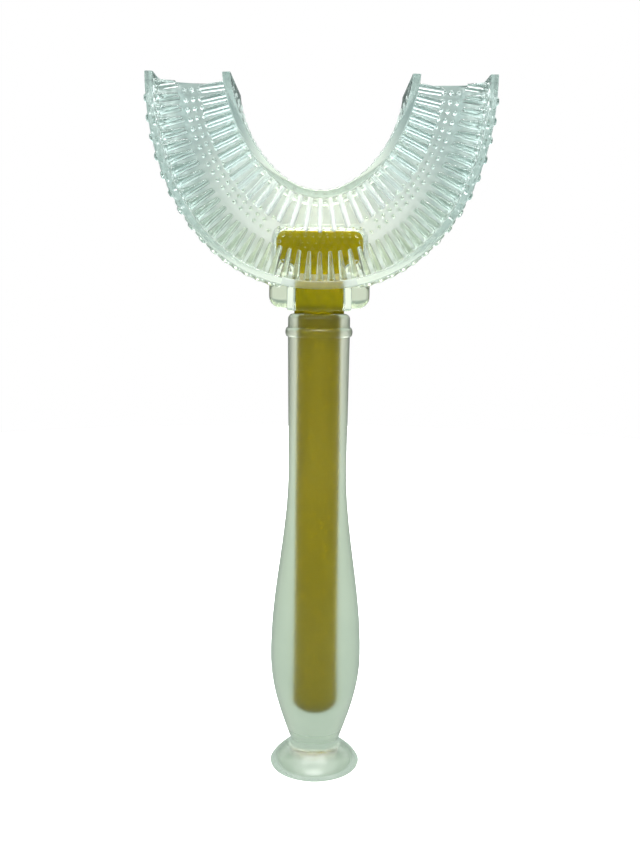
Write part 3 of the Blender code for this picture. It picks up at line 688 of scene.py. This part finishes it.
# Studs: low domes in staggered rows round the outer wall, which rub the cheeks, and finer ones round the
# tongue wall. On the outer wall they are 2.2 mm apart by the collar and 3.3 mm apart on the arms.
STUD_ROWS = np.array([-9.0, -6.0, -3.0, 0.0, 3.0, 6.0, 9.0]) * MM
COLLAR_ROOM = 1.2 * MM
TIP_ROOM = 1.5 * MM
pitches = np.interp(np.arange(0, 60), (0, 7, 11, 60), (2.2, 2.2, 3.3, 3.3)) * MM
walks = np.concatenate([[0], np.cumsum(pitches)])
places = []
for row, y in enumerate(STUD_ROWS):
    for index in range(len(walks) - 1):
        walk = walks[index] if row % 2 == 0 else (walks[index] + walks[index + 1]) / 2
        if walk > outer.length / 2 - TIP_ROOM:
            break
        for side in ((-1, 1) if walk else (1,)):
            (x, z), away = outer.at(0.5 + side * walk / outer.length)
            off_lip = abs(x) > LIP_HALF_WIDTH + COLLAR_ROOM
            off_wings = abs(x) >= WING_HALF_WIDTH + COLLAR_ROOM or abs(y) >= WING_HALF_DEPTH + COLLAR_ROOM
            if off_lip and off_wings:
                places.append(standing((x, y, z), (away[0], 0, away[1])))
stud = strand("stud", base_radius=0.95 * MM, tip_radius=0.72 * MM, length=0.58 * MM, tip_round=0.3 * MM,
              sides=10)
grow("cheek_studs", stud, places, CHEEK_STRANDS)

TONGUE_STUD_STEPS = 33
places = []
for row, y in enumerate(STUD_ROWS):
    shift = 0.5 if row % 2 else 0
    for share in (np.arange(1, TONGUE_STUD_STEPS - 2) + 0.5 + shift) / TONGUE_STUD_STEPS:
        (x, z), away = tongue.at(share)
        places.append(standing((x, y, z), (-away[0], 0, -away[1])))
stud = strand("stud", base_radius=0.55 * MM, tip_radius=0.35 * MM, length=0.22 * MM, tip_round=0.12 * MM,
              sides=8)
grow("tongue_studs", stud, places, CHEEK_STRANDS)
work_on(head)
bpy.ops.object.shade_smooth_by_angle(angle=math.radians(40))

handle_nodes = ("handle_core", "grip_sleeve", "suction_foot")
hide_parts(*[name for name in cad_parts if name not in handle_nodes])
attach(head, "brush_head")

# ---------------------------------------------------------------------------------------------------------
# Studio: a round white paper floor, with soft boxes above it. The camera sees plain white round the brush,
# and what clear silicone bends or mirrors is a surround with bright and grey bands, which draws its edges.
# ---------------------------------------------------------------------------------------------------------
FLOOR_RADIUS = 0.45
PAPER_GRAIN = 1.0 * MM
deselect()
bpy.ops.mesh.primitive_circle_add(vertices=128, radius=FLOOR_RADIUS, fill_type="NGON", location=(0, 0, 0))
floor = bpy.context.object
floor.name = "studio_floor"

# White paper. Its real grain is finer than 1 mm, and is drawn so to show. Seen through silicone it is a
# plain grey-green glow, as thick rubber gathers little of the floor's light.
paper = new_material("white_studio_paper")
ray = add_node(paper, "ShaderNodeLightPath")
point = add_node(paper, "ShaderNodeTexCoord").outputs["Object"]
grain = add_node(paper, "ShaderNodeTexNoise", {"Vector": point, "Scale": 1 / PAPER_GRAIN, "Detail": 3.0})
tone = add_node(paper, "ShaderNodeValToRGB", {"Fac": grain.outputs["Fac"]})
tone.color_ramp.elements[0].color = linear("#FAFAFA")
tone.color_ramp.elements[1].color = linear("#FFFFFF")
lit = add_node(paper, "ShaderNodeBsdfDiffuse", {"Color": tone.outputs["Color"]})
glow = add_node(paper, "ShaderNodeEmission", {"Color": linear("#FFFFFF"), "Strength": 0.45})
white = add_node(paper, "ShaderNodeAddShader", {0: lit.outputs[0], 1: glow.outputs[0]})
dim = add_node(paper, "ShaderNodeEmission", {"Color": linear("#CDDDD4"), "Strength": 1.07})
mixed = add_node(paper, "ShaderNodeMixShader", {
    "Fac": ray.outputs["Is Camera Ray"], 1: dim.outputs[0], 2: white.outputs[0]})
finish_with(paper, mixed)
floor.data.materials.append(paper)

# The surround by height, from 0 straight below to 1 straight above: a bright horizon, a grey band above it
# that the arms of the arch look at, bright again higher up, and grey overhead.
SKY = (
    (0.30, "#BCCCC4"), (0.44, "#F8FCF6"), (0.54, "#F8FEF8"), (0.59, "#A5B5B1"), (0.64, "#A8B9B5"),
    (0.72, "#F2F8F6"), (0.86, "#F2F8F6"), (0.93, "#A0B1AB"),
)
DARK_ROOM = "#39423E"
world = bpy.data.worlds.new("white_studio")
bpy.context.scene.world = world
world.use_nodes = True
world.node_tree.nodes.clear()
ray = add_node(world, "ShaderNodeLightPath")
toward = add_node(world, "ShaderNodeTexCoord").outputs["Generated"]
axes = add_node(world, "ShaderNodeSeparateXYZ", {"Vector": toward})
rise = add_node(world, "ShaderNodeMapRange", {"Value": axes.outputs["Z"], "From Min": -1.0, "From Max": 1.0})
sky = add_node(world, "ShaderNodeValToRGB", {"Fac": rise.outputs[0]})
bands = sky.color_ramp.elements
bands[0].position = SKY[0][0]
bands[0].color = linear(SKY[0][1])
bands[1].position = SKY[-1][0]
bands[1].color = linear(SKY[-1][1])
for position, colour in SKY[1:-1]:
    bands.new(position).color = linear(colour)

# Light bent by the silicone finds the bands, dimmed by a grey card on each side. After a bounce inside it
# finds a pale wall behind the brush and a dark room in front. The silicone's outside mirrors the dark room.
aside = add_node(world, "ShaderNodeMath", {0: axes.outputs["X"]}, operation="ABSOLUTE")
cards = add_node(world, "ShaderNodeMapRange", {
    "Value": aside.outputs[0], "From Min": 0.35, "From Max": 0.8, "To Min": 1.12, "To Max": 0.4})
gathered = add_node(world, "ShaderNodeBackground", {
    "Color": sky.outputs["Color"], "Strength": cards.outputs[0]})
behind = add_node(world, "ShaderNodeMapRange", {
    "Value": axes.outputs["Y"], "From Min": -0.9, "From Max": -0.3})
room = add_node(world, "ShaderNodeValToRGB", {"Fac": behind.outputs[0]})
room.color_ramp.elements[0].color = linear(DARK_ROOM)
room.color_ramp.elements[1].color = linear("#D6E6E0")
piped = add_node(world, "ShaderNodeBackground", {"Color": room.outputs["Color"], "Strength": 1.0})
mirrored = add_node(world, "ShaderNodeBackground", {"Color": linear(DARK_ROOM), "Strength": 1.0})
backdrop = add_node(world, "ShaderNodeBackground", {"Color": linear("#FFFFFF"), "Strength": 1.0})
bounced = add_node(world, "ShaderNodeMixShader", {
    "Fac": ray.outputs["Glossy Depth"], 1: gathered.outputs[0], 2: piped.outputs[0]})
off_outside = add_node(world, "ShaderNodeMath", {
    0: ray.outputs["Is Glossy Ray"], 1: ray.outputs["Is Transmission Ray"]},
                       operation="SUBTRACT", use_clamp=True)
indirect = add_node(world, "ShaderNodeMixShader", {
    "Fac": off_outside.outputs[0], 1: bounced.outputs[0], 2: mirrored.outputs[0]})
mixed = add_node(world, "ShaderNodeMixShader", {
    "Fac": ray.outputs["Is Camera Ray"], 1: indirect.outputs[0], 2: backdrop.outputs[0]})
add_node(world, "ShaderNodeOutputWorld", {"Surface": mixed.outputs[0]})


def soft_box(name, spot, aim, width, height, power):
    """A large area light in watts that points at a spot; the camera doesn't see it."""
    light = bpy.data.lights.new(name, "AREA")
    light.shape = "RECTANGLE"
    light.size = width
    light.size_y = height
    light.energy = power
    lamp = bpy.data.objects.new(name, light)
    bpy.context.collection.objects.link(lamp)
    lamp.location = spot
    lamp.rotation_euler = (Vector(aim) - Vector(spot)).to_track_quat("-Z", "Y").to_euler()
    lamp.visible_camera = False


# Each with its place, what it points at, width and height in metres, and watts. The front box whitens the
# tongue bristles, and the long key puts a highlight on the foot.
soft_box("box_above", (0, 0, 0.50), (0, 0, 0.06), 0.90, 0.90, 8.0)
for side_x in (-1, 1):
    for side_y in (-1, 1):
        soft_box("box_corner", (0.36 * side_x, 0.36 * side_y, 0.30), (0, 0, 0.09), 0.22, 0.20, 0.3)
soft_box("box_front", (0, -0.30, 0.42), (0, 0, 0.108), 0.30, 0.12, 1.6)
soft_box("box_key", (0, -0.10, 0.48), (0, -0.006, 0.004), 0.45, 0.02, 1.6)

# Camera: a little above the middle of the brush and close in front of it, leaning slightly as in the photo.
EYE = (0.0004, -0.1819, 0.0952)
TILT = math.radians(90 - 8.55)
LEAN = math.radians(0.65)
camera = bpy.data.cameras.new("camera")
camera.lens = 40.9
camera.sensor_width = 36.0
camera.clip_start = 0.01
eye = bpy.data.objects.new("camera", camera)
bpy.context.collection.objects.link(eye)
eye.matrix_world = Matrix.Translation(EYE) @ Matrix.Rotation(TILT, 4, "X") @ Matrix.Rotation(LEAN, 4, "Z")
bpy.context.scene.camera = eye
bpy.context.scene.view_settings.view_transform = "Standard"
bpy.context.scene.view_settings.look = "None"
